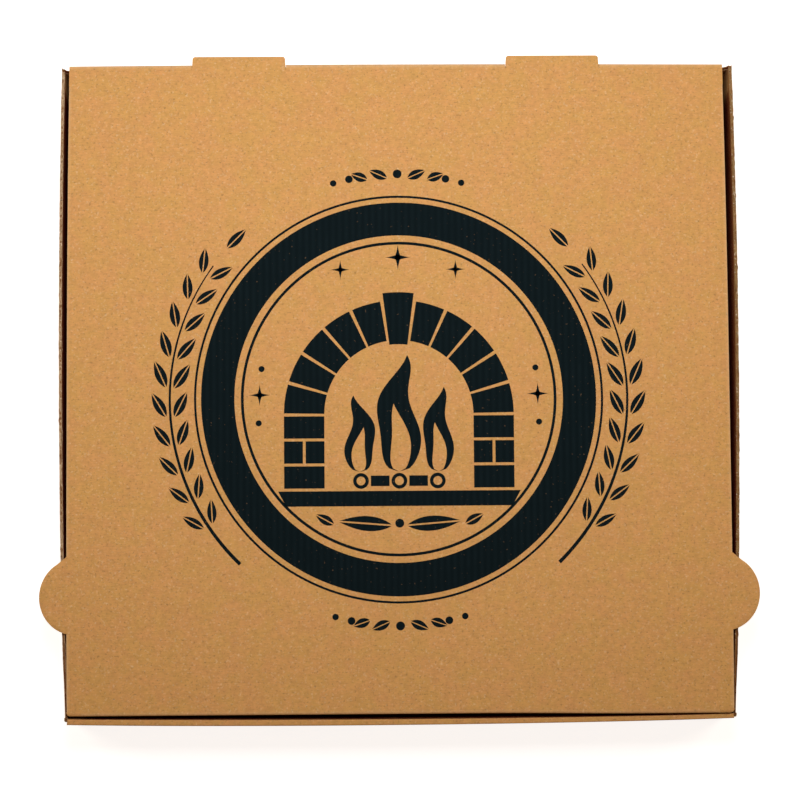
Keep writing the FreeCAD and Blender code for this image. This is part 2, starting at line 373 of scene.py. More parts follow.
def empty_tree(owner: Material | World) -> AddNode:
    """Clear the nodes of a material or world and give the function that adds new ones."""
    owner.use_nodes = True
    owner.node_tree.nodes.clear()
    return partial(add_node, owner.node_tree)


def grains(node: AddNode, place: NodeSocket, size: float, octaves: float, rough: float, span: Point,
           result: Point = (0.0, 1.0)) -> NodeSocket:
    """Cloudy pattern whose grains have a given size.

    Args:
        node: Adds a node to the tree.
        place: Coordinates in metres.
        size: Size of the grains in millimetres.
        octaves: Layers of finer grains.
        rough: Strength of the finer layers.
        span: Noise values between which the pattern rises.
        result: Results at both ends of the span.

    Returns:
        The pattern's socket.
    """
    fac = node("ShaderNodeTexNoise",
               {"Vector": place, "Scale": 1 / (size * MM), "Detail": octaves, "Roughness": rough})
    return node("ShaderNodeMapRange", {0: fac, 1: span[0], 2: span[1], 3: result[0], 4: result[1]})


def flute_crests(node: AddNode, place: NodeSocket, board: Board) -> NodeSocket:
    """Wave from -1 to 1 that follows the flutes, across the first axis of the coordinates."""
    across = node("ShaderNodeSeparateXYZ", {0: place})
    turns = node("ShaderNodeMath", {0: across, 1: math.tau / (board.pitch * MM)}, operation="MULTIPLY")
    return node("ShaderNodeMath", {0: turns}, operation="SINE")


def tinted(node: AddNode, colour: str, layers: Sequence[tuple[NodeSocket, str]]) -> NodeSocket:
    """Lay colours over a colour, each by the share that its socket gives."""
    result = linear(colour)
    for share, tone in layers:
        result = node("ShaderNodeMix", {0: share, 6: result, 7: linear(tone)}, 2, data_type="RGBA")
    return result


@dataclass(frozen=True)
class KraftPaper:
    """Unbleached kraft or recycled paper, machine made: matt, cloudy, with pale and dark fibres.

    The eye sees one warm brown with soft clouds, fine pale flecks, fewer dark ones and, on board,
    a faint washboard where the paper follows the flutes. Narrow gaps get a painted shade of deep red brown.
    """

    name: str
    colour: str
    cloud: str
    pale: str
    dark: str
    worn: str = "#F6D2A8"
    # Colour of the painted shade in narrow gaps
    deep: str = "#5E1606"
    pale_share: float = 0.5
    dark_share: float = 0.5
    washboard: float = 0.35
    tooth: float = 0.25
    roughness: float = 0.85
    # Reach of the occlusion that paints shade in narrow gaps, and the occlusion span over which that shade
    # fades
    gap: float = 9.0
    gap_shade_span: Point = (0.16, 0.72)
    board: Board = Board()

    def build(self) -> Material:
        """Build the paper's material."""
        material = bpy.data.materials.new(self.name)
        node = empty_tree(material)
        place = node("ShaderNodeTexCoord", out="Object")
        crest = flute_crests(node, node("ShaderNodeUVMap", uv_map=SHEET_UV), self.board)
        # Formation clouds of the pulp: redder and yellower ones some 8 mm across, fine ones of 2 mm
        clouds = grains(node, place, 9, 3, 0.55, (0.36, 0.64))
        mottle = grains(node, place, 2.6, 3, 0.65, (0.3, 0.7))
        # Fibres lie mostly across the flutes, as the liner ran through the machine
        stretched = node("ShaderNodeMapping", {0: place, 3: (0.22, 1.0, 1.0)})
        fibre = grains(node, stretched, 0.7, 2, 0.7, (0.3, 0.7))
        # Pale and dark fibre bundles, 0.5 to 1 mm
        moved = node("ShaderNodeMapping", {0: place, 1: (0.31, 0.17, 0.53)})
        pale = grains(node, place, 1.1, 1, 0.5, (0.6, 0.8), (0, self.pale_share))
        dark = grains(node, moved, 1.1, 1, 0.5, (0.6, 0.8), (0, self.dark_share))
        # A fold stretches the liner and wears it pale
        crease = node("ShaderNodeAttribute", out="Fac", attribute_name=CREASE)
        colour = tinted(node, self.colour, [(clouds, self.cloud), (pale, self.pale), (dark, self.dark),
                                            (crease, self.worn)])
        # The crests of the flutes burnish the liner by a hair
        burnish = 0.012 * self.washboard
        level = 1.0
        for part, swing in ((mottle, 0.075), (fibre, 0.06), (crest, burnish)):
            least = -1 if part is crest else 0
            factor = node("ShaderNodeMapRange", {0: part, 1: least, 3: 1 - swing, 4: 1 + swing})
            level = node("ShaderNodeMath", {0: level, 1: factor}, operation="MULTIPLY")
        colour = node("ShaderNodeVectorMath", {0: colour, 3: level}, operation="SCALE")
        # Painted shade: occlusion turns narrow gaps between flaps and walls a deep red brown, for the light
        # that gets in there has bounced off brown paper; worn folds stay clear of it
        gap_occlusion = node("ShaderNodeAmbientOcclusion", {"Distance": self.gap * MM}, "AO", samples=6)
        seen = node("ShaderNodeMapRange", {0: gap_occlusion, 1: self.gap_shade_span[0], 2: self.gap_shade_span[1]})
        lit = node("ShaderNodeMath", {0: seen, 1: crease}, operation="MAXIMUM")
        colour = node("ShaderNodeMix", {0: lit, 6: linear(self.deep), 7: colour}, 2, data_type="RGBA")
        wave = node("ShaderNodeBump", {"Strength": self.washboard, "Distance": 0.05 * MM, "Height": crest})
        tooth = node("ShaderNodeBump", {"Strength": self.tooth, "Distance": 0.05 * MM, "Height": fibre,
                                        "Normal": wave})
        rough = node("ShaderNodeMapRange", {0: mottle, 3: self.roughness - 0.05, 4: self.roughness + 0.05})
        shader = node("ShaderNodeBsdfPrincipled", {"Base Color": colour, "Roughness": rough, "Normal": tooth,
                                                   "IOR": 1.45, "Specular IOR Level": 0.12})
        node("ShaderNodeOutputMaterial", {0: shader})
        return material


@dataclass(frozen=True)
class FlexoInk:
    """Water-based flexo ink on kraft, printed by a rubber plate.

    It soaks in, so it is as matt as the paper. The crests of the flutes take a little more ink and
    the hollows less, and stray fibres leave pinholes.
    """

    name: str = "flexo_ink"
    colour: str = "#0B181D"
    thin: str = "#16242A"
    pinhole: str = "#6A5540"
    roughness: float = 0.8
    board: Board = Board()

    def build(self) -> Material:
        """Build the ink's material."""
        material = bpy.data.materials.new(self.name)
        node = empty_tree(material)
        place = node("ShaderNodeTexCoord", out="Object")
        crest = flute_crests(node, place, self.board)
        hollow = node("ShaderNodeMapRange", {0: crest, 1: -1, 2: 1, 3: 0, 4: 0.7})
        wobble = grains(node, place, 9, 2, 0.6, (0, 1))
        streak = node("ShaderNodeMath", {0: hollow, 1: wobble}, operation="MULTIPLY")
        holes = grains(node, place, 1.3, 1, 0.4, (0.72, 0.80), (0, 0.7))
        colour = tinted(node, self.colour, [(streak, self.thin), (holes, self.pinhole)])
        wave = node("ShaderNodeBump", {"Strength": 0.5, "Distance": 0.05 * MM, "Height": crest})
        tooth = node("ShaderNodeBump", {"Strength": 0.2, "Distance": 0.06 * MM, "Normal": wave,
                                        "Height": grains(node, place, 0.7, 2, 0.7, (0, 1))})
        shader = node("ShaderNodeBsdfPrincipled", {"Base Color": colour, "Roughness": self.roughness,
                                                   "Normal": tooth, "IOR": 1.45, "Specular IOR Level": 0.06})
        node("ShaderNodeOutputMaterial", {0: shader})
        return material


@dataclass(frozen=True)
class Finishes:
    """The papers and the ink, built once."""

    liner: Material
    cut: Material
    crushed: Material
    medium: Material
    ink: Material

    @classmethod
    def build(cls) -> "Finishes":
        """Build every material of the box."""
        liner = KraftPaper("kraft_liner", "#DEA569", "#DAA764", "#F4E0BC", "#7C5A3C", pale_share=0.4,
                           dark_share=0.44)
        # The steel rule tears the paper, which bares paler, fluffier fibres
        torn = {"pale_share": 0.8, "dark_share": 0.9, "washboard": 0, "tooth": 0.6, "roughness": 0.9}
        cut = KraftPaper("cut_kraft", "#CBAF8E", "#B69876", "#F2E0C6", "#5A3C26", "#CBAF8E", **torn)
        # A darker copy of the cut paper: painted shade for the right side wall's cut edge and torn core
        crushed = KraftPaper("crushed_kraft", "#A28358", "#8A6A44", "#F6ECDA", "#3E2818", "#A28358", **torn)
        # Recycled fluting is duller and darker than the liners
        medium = KraftPaper("recycled_fluting", "#A9794B", "#9A6C40", "#C59A6C", "#6B4828", "#A9794B",
                            pale_share=0.3, washboard=0, tooth=0.3, roughness=0.88)
        return cls(*(paper.build() for paper in (liner, cut, crushed, medium, FlexoInk())))


@dataclass(frozen=True)
class Move:
    """A straight length of board, then a fold: degrees, left positive, and its inside radius."""

    length: float
    turn: float = 0.0
    inside: float = 0.4


@dataclass
class FoldPath:
    """Middle line of a board seen edge on: a start, a heading in degrees and moves.

    A crease pulls the outer liner into a corner, so a bend follows a superellipse of the power
    square; one of half a turn has two corners and a flat top. A fold wears over a part of its length,
    and one that is longer than soft_roll doesn't.
    """

    start: Point
    heading: float
    moves: Sequence[Move]
    worn_at: float = 0.8
    worn_width: float = 0.34
    wear: float = 1.0
    soft_roll: float = 2.4
    square: float = 5.0
    board: Board = Board()
    parts: list[tuple[float, float, Point, float, float]] = field(default_factory=list)

    def __post_init__(self) -> None:
        """Work out where each straight and each fold begins."""
        (x, y), angle, run = self.start, math.radians(self.heading), 0.0
        for move in self.moves:
            if move.length:
                self.parts.append((run, run + move.length, (x, y), angle, 0.0))
                x, y = x + move.length * math.cos(angle), y + move.length * math.sin(angle)
                run += move.length
            if move.turn:
                bend = math.copysign(move.inside + self.board.half, move.turn)
                span = abs(bend) * math.radians(abs(move.turn))
                self.parts.append((run, run + span, (x, y), angle, bend))
                after = angle + math.radians(move.turn)
                x += bend * (math.sin(after) - math.sin(angle))
                y += bend * (math.cos(angle) - math.cos(after))
                angle, run = after, run + span

    @property
    def length(self) -> float:
        """Length of the middle line."""
        return self.parts[-1][1]

    def locate(self, s: float, w: float) -> Point:
        """Find a point of the board in the path's plane.

        Args:
            s: Distance along the middle line.
            w: Distance to its left.

        Returns:
            The point.
        """
        low, high, (x, y), angle, bend = next((p for p in self.parts if s <= p[1]), self.parts[-1])
        if not bend:
            run = s - low
            return (x + run * math.cos(angle) - w * math.sin(angle),
                    y + run * math.sin(angle) + w * math.cos(angle))
        turned = angle + (s - low) / bend
        cx, cy = x - bend * math.sin(angle), y + bend * math.cos(angle)
        corners = max(1, round(abs((high - low) / bend) * 2 / math.pi))
        phase = corners * math.pi / 2 * (s - low) / (high - low)
        power = self.square
        grow = (abs(math.cos(phase)) ** power + abs(math.sin(phase)) ** power) ** (-1 / power)
        return cx + (bend - w) * grow * math.sin(turned), cy - (bend - w) * grow * math.cos(turned)

    def crease(self, s: float) -> float:
        """Wear of the folds at a distance along the line, from 0 to 1."""
        folds = [(low, high - low) for low, high, _, _, bend in self.parts
                 if bend and high - low < self.soft_roll]
        marks = [((s - low) / span - self.worn_at) / self.worn_width for low, span in folds]
        return self.wear * max((math.exp(-mark ** 2) for mark in marks), default=0.0)

    def stations(self, step: float, fold_steps: int = 10) -> list[float]:
        """Rising distances along the line, ends included, at which the board is divided.

        Args:
            step: Longest division of a straight.
            fold_steps: Divisions of a fold.

        Returns:
            The distances.
        """
        marks = [0.0]
        for low, high, _, _, bend in self.parts:
            count = fold_steps if bend else max(1, math.ceil((high - low) / step))
            marks += [low + (high - low) * i / count for i in range(1, count + 1)]
        return marks


def even(low: float, high: float, count: int) -> list[float]:
    """Divide a span into equal steps and give all ends."""
    return [low + (high - low) * i / count for i in range(count + 1)]


def spread(low: float, high: float, step: float, edges: Sequence[float] = ()) -> list[float]:
    """Even divisions of a span, with closer ones at its ends.

    Args:
        low: Start.
        high: End.
        step: Longest division.
        edges: Distances from both ends that are divided too.

    Returns:
        Rising values, ends included.
    """
    inner = max(edges, default=0.0)
    count = max(1, math.ceil((high - low - 2 * inner) / step))
    marks = {round(mark, 6) for mark in even(low + inner, high - inner, count)}
    return sorted(marks | {low, high} | {low + e for e in edges} | {high - e for e in edges})


def arc(middle: Point, radius: float, start: float, end: float, count: int) -> list[Point]:
    """Points on an arc between two angles in radians, ends included."""
    return [(middle[0] + radius * math.cos(t), middle[1] + radius * math.sin(t))
            for t in even(start, end, count)]


def both_sides(half: Sequence[Point], middle: float) -> list[Point]:
    """Outline that is alike on both sides of a middle line; half gives s and the distance to it."""
    return [(s, middle + a) for s, a in half] + [(s, middle - a) for s, a in reversed(half)]


def absorb(whole: BMesh, part: BMesh) -> None:
    """Move a bmesh into another one and free it."""
    mesh = bpy.data.meshes.new("part")
    part.to_mesh(mesh)
    part.free()
    whole.from_mesh(mesh)
    bpy.data.meshes.remove(mesh)


def thicken(bm: BMesh, height: float) -> None:
    """Raise flat faces into closed slabs."""
    top = bmesh.ops.extrude_face_region(bm, geom=bm.faces[:], use_keep_orig=True)["geom"]
    bmesh.ops.translate(bm, vec=(0, 0, height), verts=[g for g in top if isinstance(g, BMVert)])
    bmesh.ops.recalc_face_normals(bm, faces=bm.faces[:])


def grid_slab(rows: Sequence[float], columns: Sequence[float], low: float, high: float) -> BMesh:
    """Closed flat slab on a grid of given rows and columns.

    Args:
        rows: Values of the first axis.
        columns: Values of the second axis.
        low: Underside.
        high: Top.

    Returns:
        The slab, in blank coordinates.
    """
    bm = bmesh.new()
    nx, ny = len(rows) - 1, len(columns) - 1
    bmesh.ops.create_grid(bm, x_segments=nx, y_segments=ny, size=1.0)
    for vert in bm.verts:
        i, j = round((vert.co.x + 1) / 2 * nx), round((vert.co.y + 1) / 2 * ny)
        vert.co = (rows[i], columns[j], low)
    thicken(bm, high - low)
    return bm


def prisms(outlines: Sequence[Sequence[Point]], reach: float) -> BMesh:
    """Closed prisms over outlines, as deep below the zero plane as they rise above it."""
    tool = bmesh.new()
    for outline in outlines:
        part = bmesh.new()
        part.faces.new([part.verts.new((x, y, -reach)) for x, y in outline])
        thicken(part, 2 * reach)
        absorb(tool, part)
    return tool


def new_object(name: str, data: ID) -> Object:
    """Make an object and link it to the scene."""
    obj = bpy.data.objects.new(name, data)
    bpy.context.scene.collection.objects.link(obj)
    return obj


def mesh_object(name: str, bm: BMesh, materials: Sequence[Material] = ()) -> Object:
    """Put a bmesh into an object at the origin and free it."""
    mesh = bpy.data.meshes.new(name)
    bm.to_mesh(mesh)
    bm.free()
    for material in materials:
        mesh.materials.append(material)
    return new_object(name, mesh)


def die_cut(bm: BMesh, tool: BMesh, keep: bool = False) -> BMesh:
    """Cut a slab with prisms.

    Args:
        bm: The slab; it is freed.
        tool: The prisms; they are freed.
        keep: True keeps what lies inside the tool, False what lies outside.

    Returns:
        The cut slab.
    """
    target, cutter = mesh_object("slab", bm), mesh_object("tool", tool)
    modifier = target.modifiers.new("cut", "BOOLEAN")
    modifier.operation = "INTERSECT" if keep else "DIFFERENCE"
    modifier.solver = "EXACT"
    modifier.object = cutter
    bpy.context.view_layer.update()
    result = bmesh.new()
    result.from_object(target, bpy.context.evaluated_depsgraph_get())
    for obj in (target, cutter):
        mesh = obj.data
        bpy.data.objects.remove(obj)
        bpy.data.meshes.remove(mesh)
    return result


def finish_mesh(bm: BMesh, name: str, materials: Sequence[Material], sharp: float = 32.0) -> Object:
    """Turn a closed bmesh into an object with outward faces and crisp edges.

    Args:
        bm: The mesh in metres; it is freed.
        name: The object's name.
        materials: Its material slots.
        sharp: Angle in degrees past which an edge stays crisp.

    Returns:
        The object, linked, at the origin.
    """
    bmesh.ops.recalc_face_normals(bm, faces=bm.faces[:])
    for face in bm.faces:
        face.smooth = True
    for edge in bm.edges:
        edge.smooth = len(edge.link_faces) == 2 and edge.calc_face_angle(0.0) < math.radians(sharp)
    return mesh_object(name, bm, materials)


def soft_edge(distance: float, depth: float = 0.42, reach: float = 1.5) -> float:
    """Share of the board's thickness left near a die-cut edge; depth is what the rule takes there."""
    near = max(0.0, 1 - max(distance, 0.0) / reach)
    return 1 - depth * near * near


def ragged(y: float, seed: float, grain: float = 1.6) -> float:
    """Uneven height of a torn edge, from about -1 to 1; seed picks a run of tears of grain's length."""
    fine = noise.noise(Vector((y / grain, seed, 0.0)))
    coarse = noise.noise(Vector((y / (grain * 7), seed, 5.0)))
    return 0.75 * fine + 0.6 * coarse


@dataclass
class Sheet:
    """A stretch of corrugated board, cut flat and then folded into place.

    The blank's axes are s along the path, a along the fold and w through the thickness.
    """

    name: str
    rows: Sequence[float]
    columns: Sequence[float]
    place: Place
    flutes: Flutes = Flutes.ALONG_PATH
    waste: Sequence[Sequence[Point]] = ()
    outline: Sequence[Point] = ()
    pinch: Callable[[float, float], float] = lambda s, a: 1.0
    crease: Callable[[float], float] = lambda s: 0.0
    top_film: float = 0.0
    # True gives the cut faces the darker copy of the cut paper, which paints shade
    crushed: bool = False
    board: Board = Board()
    wave_steps: int = 8

    def _fine(self, marks: Sequence[float]) -> list[float]:
        """Divide a span finely enough to carry the flutes."""
        span = marks[-1] - marks[0]
        return even(marks[0], marks[-1], max(1, math.ceil(span * self.wave_steps / self.board.pitch)))

    def _layer(self, low: float, high: float, wavy: bool) -> BMesh:
        """Build one paper of the board in the blank's coordinates."""
        b = self.board
        along_path = self.flutes is Flutes.ALONG_PATH
        rows = self._fine(self.rows) if wavy and not along_path else self.rows
        columns = self._fine(self.columns) if wavy and along_path else self.columns
        bm = grid_slab(rows, columns, low, high)
        if self.waste:
            bm = die_cut(bm, prisms(self.waste, 2 * b.thickness))
        if self.outline:
            bm = die_cut(bm, prisms([self.outline], 2 * b.thickness), keep=True)
        if wavy:
            for vert in bm.verts:
                across = vert.co.y if along_path else vert.co.x
                vert.co.z += b.wave * math.sin(math.tau * across / b.pitch)
        return bm

    def build(self, finishes: Finishes) -> Object:
        """Build the board as one object.

        Args:
            finishes: The materials.

        Returns:
            The object, at the origin, in metres.
        """
        b = self.board
        layers = [(b.half - b.liner, b.half - self.top_film, Slot.LINER),
                  (-b.half, -b.half + b.liner, Slot.LINER),
                  (-b.medium / 2, b.medium / 2, Slot.MEDIUM)]
        whole = bmesh.new()
        uv = whole.loops.layers.uv.new(SHEET_UV)
        for low, high, slot in layers:
            first = len(whole.faces)
            absorb(whole, self._layer(low, high, slot is Slot.MEDIUM))
            whole.faces.ensure_lookup_table()
            for face in whole.faces[first:]:
                face.normal_update()
                cut = slot is Slot.LINER and abs(face.normal.z) < 0.5
                face.material_index = Slot.CUT if cut else slot
        for face in whole.faces:
            for loop in face.loops:
                s, a, _ = loop.vert.co
                across, along = (a, s) if self.flutes is Flutes.ALONG_PATH else (s, a)
                loop[uv].uv = (across * MM, along * MM)
        bmesh.ops.triangulate(whole, faces=[f for f in whole.faces if len(f.verts) > 4])
        worn = whole.verts.layers.float.new(CREASE)
        for vert in whole.verts:
            s, a, w = vert.co
            vert[worn] = self.crease(s)
            vert.co = self.place(s, a, w * self.pinch(s, a)) * MM
        cut = finishes.crushed if self.crushed else finishes.cut
        return finish_mesh(whole, self.name, [finishes.liner, cut, finishes.medium])


@dataclass
class Assembly:
    """Pieces that are built from the same sizes and finishes."""

    sizes: Sizes
    finishes: Finishes
    pieces: list[Object] = field(default_factory=list)

    def _add(self, name: str, rows: Sequence[float], columns: Sequence[float], place: Place,
             **more: object) -> None:
        """Build a sheet, with any more of its fields, and keep it."""
        self.pieces.append(Sheet(name, rows, columns, place, **more).build(self.finishes))


@dataclass(frozen=True)
class TornEdge:
    """Torn liners and trodden fluting (the core) at the top of a side wall, in millimetres."""

    reach: float = 0.7
    depth: float = 0.3
    set_back: float = 0.32
    liner_seed: float = 1.7
    burr: float = 0.9
    burr_from: float = 0.28
    burr_grain: float = 3.0
    burr_seed: float = 31.0
    pinch: float = 0.06
    pinch_swing: float = 0.3
    pinch_grain: float = 2.4
    pinch_reach: float = 1.6
    pinch_seed: float = 9.0
    core_span: Point = (1.8, 0.22)
    core_inset: float = 1.4
    core_swell: float = 1.1
    core_top: float = 0.3
    core_limit: float = 0.03
    core_drop: float = 0.1
    core_swing: float = 0.7
    core_grain: float = 1.3
    core_seed: float = 21.0
    trodden: float = 0.9
    trodden_span: Point = (110.0, 150.0)
    divisions: tuple[float, ...] = (2.6, 1.7, 1.1, 0.6, 0.25)


@dataclass
class Tray(Assembly):
    """Lower half: floor, walls, corner flaps and the rolled front wall."""

    torn: TornEdge = TornEdge()

    def _front_path(self) -> FoldPath:
        """Path of the front wall: fold, outer layer, roll and slanted inner layer."""
        z, b = self.sizes, self.sizes.board
        roll = {"turn": z.inner_lean - 180, "inside": z.layer_gap / 2}
        rolled = FoldPath((0.0, z.roll_start), 90, [Move(0, **roll)])
        slant = math.radians(z.inner_lean)
        drop = rolled.locate(rolled.length, 0.0)[1] - b.half * math.sin(slant) - b.thickness - z.layer_gap
        moves = [Move(0, -90, b.crease), Move(z.roll_start - b.fold, **roll), Move(drop / math.cos(slant))]
        return FoldPath((z.front + b.fold, b.half), 180, moves)

    def _lock_line(self) -> float:
        """Y of the inner layer's lower end at a lock tab."""
        path = self._front_path()
        return path.locate(path.length, 0.0)[0] - self.sizes.front_bow(self.sizes.lock_place)

    def _front_flap_top(self) -> float:
        """Height at which a corner flap still fits inside the rolled front wall."""
        z, b = self.sizes, self.sizes.board
        room = b.thickness + z.layer_gap + z.front_bow(z.width / 2 - b.fold - z.corner_flap)
        return z.roll_start - room / math.tan(math.radians(z.inner_lean))

    def floor(self) -> None:
        """Flat floor with the two slots of the lock tabs."""
        z, b = self.sizes, self.sizes.board
        edge_x, edge_y = z.width / 2 - b.fold, z.rear - b.fold
        y, half, depth = self._lock_line(), z.lock_width / 2 + z.play, b.half + z.play
        slots = [both_sides([(y - depth, half), (y + depth, half)], side.value * z.lock_place)
                 for side in Side]
        self._add("tray_floor", spread(-edge_y, edge_y, 12), spread(-edge_x, edge_x, 12),
                  lambda s, a, w: Vector((a, s, b.half + w)), waste=slots)

    def rear_wall(self) -> None:
        """Rear wall with the two windows that the lid's tabs left."""
        z, b = self.sizes, self.sizes.board
        rise = z.height - 2 * b.fold
        path = FoldPath((z.rear - b.fold, b.half), 0, [Move(0, 90, b.crease), Move(rise)])
        end, half = path.length, z.tab_width / 2 + z.play
        sill = end - (z.tab_length + b.half + z.play - (b.fold - b.half))
        shape = [(end + 2, half), (sill, half - z.tab_slope)]
        windows = [both_sides(shape, side.value * z.tab_place + z.tab_shift) for side in Side]

        def place(s: float, a: float, w: float) -> Vector:
            """Fold a point of the blank into place."""
            y, height = path.locate(s, w)
            return Vector((a, y + z.rear_bow(a) * max(0.0, height - b.fold) / rise, height))

        self._add("rear_wall", path.stations(8), spread(-z.panel_half, z.panel_half, 10), place,
                  waste=windows)

    def front_wall(self) -> None:
        """Front wall rolled over into a double wall whose top bows out."""
        z, path = self.sizes, self._front_path()
        fold_end, outer_end, roll_end = (part[1] for part in path.parts[:3])

        def place(s: float, a: float, w: float) -> Vector:
            """Fold a point of the blank into place."""
            y, height = path.locate(s, w)
            share = clamp((s - fold_end) / (outer_end - fold_end))
            # The ends of the outer layer and of the roll reach over the side walls' folds
            wide = clamp((roll_end - s) / (roll_end - outer_end)) * (abs(a) / z.panel_half) ** 24
            y += z.roll_crush(a, y, height) - z.front_bow(a) * share
            return Vector((a + math.copysign(z.roll_over * wide, a), y, height))

        self._add("front_wall", path.stations(9, 18), spread(-z.panel_half, z.panel_half, 9, (1.5, 4)), place,
                  crease=path.crease)

    def lock_tabs(self) -> None:
        """Tabs of the inner layer that stand in the floor's slots."""
        z, b = self.sizes, self.sizes.board
        y, half, top = self._lock_line(), z.lock_width / 2, b.thickness + z.lock_overlap
        for side in Side:
            c = side.value * z.lock_place
            outline = both_sides([(z.layer_gap, half - z.lock_slope), (b.thickness, half), (top, half)], c)
            self._add(f"lock_tab_{side.label}", [0.0, b.thickness + 1], spread(c - half, c + half, 4),
                      lambda s, a, w: Vector((a, y + w, s)), outline=outline)

    def side_wall(self, side: Side) -> None:
        """Side wall from its fold to its torn top edge, bowed out along its length."""
        z, b, torn = self.sizes, self.sizes.board, self.torn
        path = FoldPath((z.width / 2 - b.fold, b.half), 0, [Move(0, 90, b.crease), Move(z.wall_top - b.fold)])
        end = path.length
        near_top = [end - d for d in torn.divisions]
        rows = [s for s in path.stations(7) if s < near_top[0] - 1] + near_top + [end]

        def place(s: float, a: float, w: float) -> Vector:
            """Fold a point of the blank into place."""
            tear = max(0.0, 1 - (end - s) / torn.reach)
            seed = 3.0 * side.value + (torn.liner_seed if w > 0 else 0.0)
            s += tear * (torn.depth * ragged(a, seed) - torn.set_back)
            x, height = path.locate(s, w)
            # A burr now and then where the rule dragged the liner along
            burr = torn.burr * max(0.0, ragged(a, seed + torn.burr_seed, torn.burr_grain) - torn.burr_from)
            x += z.side_out(a, height, side) - math.copysign(tear * burr, w)
            x -= z.wall_crush(a, height, 0.5 + w / b.thickness)
            return z.poke(Vector((side.value * x, a, min(height, z.wall_top))))

        def pinch(s: float, a: float) -> float:
            """Share of the thickness left by the torn edge."""
            depth = torn.pinch + torn.pinch_swing * ragged(a, torn.pinch_seed + side.value, torn.pinch_grain)
            return soft_edge(end - s, max(-0.1, depth), torn.pinch_reach)

        # The right wall's cut edge gets painted shade: the darker copy of the cut paper
        self._add(f"side_wall_{side.label}", rows, spread(-z.wall_half, z.wall_half, 1.0), place,
                  flutes=Flutes.ALONG_FOLD, pinch=pinch, crushed=side is Side.RIGHT)

    def torn_core(self, side: Side) -> None:
        """Crushed fluting that fills the side wall's cut edge between its liners."""
        z, b, torn = self.sizes, self.sizes.board, self.torn
        low, high = (z.wall_top - depth for depth in torn.core_span)
        half = b.half - torn.core_inset * b.liner
        bm = grid_slab(spread(low, high, 0.53), spread(-z.wall_half, z.wall_half, 0.7), -half, half)
        uv = bm.loops.layers.uv.new(SHEET_UV)
        for face in bm.faces:
            for loop in face.loops:
                loop[uv].uv = loop.vert.co.xy * MM
        for vert in bm.verts:
            height, y, w = vert.co
            if height > z.wall_top - torn.core_top:
                # Towards the front the core is trodden down between the liners
                height += torn.core_swing * ragged(y, torn.core_seed + side.value, torn.core_grain)
                height -= torn.core_drop + torn.trodden * smooth(-y, *torn.trodden_span)
            x = z.width / 2 - b.half + w * torn.core_swell + z.side_out(y, height, side)
            x -= z.wall_crush(y, height, 0.5 - w / b.thickness)
            vert.co = z.poke(Vector((side.value * x, y, min(height, z.wall_top - torn.core_limit)))) * MM
        # The right core gets painted shade: the darker copy of the cut paper
        finish = self.finishes.cut if side is Side.LEFT else self.finishes.crushed
        self.pieces.append(finish_mesh(bm, f"torn_core_{side.label}", [finish]))

    def corner_flap(self, side: Side, rear: bool) -> None:
        """Flap at one end of a side wall, folded in along the front or rear wall."""
        z, b = self.sizes, self.sizes.board
        facing, end_name = (1, "rear") if rear else (-1, "front")
        path = FoldPath((z.width / 2 - b.half, z.wall_half), 90, [Move(0, 90, b.crease), Move(z.corner_flap)])
        end, fold_end = path.length, path.length - z.corner_flap
        top = z.wall_top - z.corner_drop if rear else self._front_flap_top()
        cut, above, beyond = z.corner_cut, z.height, end + 5
        # The rear flap is cut down from within its fold, the front one from where the fold ends
        first = fold_end * (0.4 if rear else 1.0) + 0.05
        waste = [[(first, top), (first, above), (beyond, above), (beyond, top - cut), (end, top - cut),
                  (end - cut, top)],
                 [(end - cut, b.fold - 1), (end - cut, b.fold), (end, b.fold + cut),
                  (beyond, b.fold + cut), (beyond, b.fold - 1)]]

        def place(s: float, a: float, w: float) -> Vector:
            """Fold a point of the blank into place."""
            x, y = path.locate(s, w)
            x += z.side_out(facing * z.flap_face, a, side)
            return z.poke(Vector((side.value * x, facing * y, a)))

        self._add(f"corner_flap_{end_name}_{side.label}", path.stations(8), spread(b.fold, z.wall_top, 6),
                  place, waste=waste)

    def build(self) -> list[Object]:
        """Build the whole tray."""
        self.floor()
        self.rear_wall()
        self.front_wall()
        self.lock_tabs()
        for side in Side:
            self.side_wall(side)
            self.torn_core(side)
            self.corner_flap(side, rear=True)
            self.corner_flap(side, rear=False)
        return self.pieces


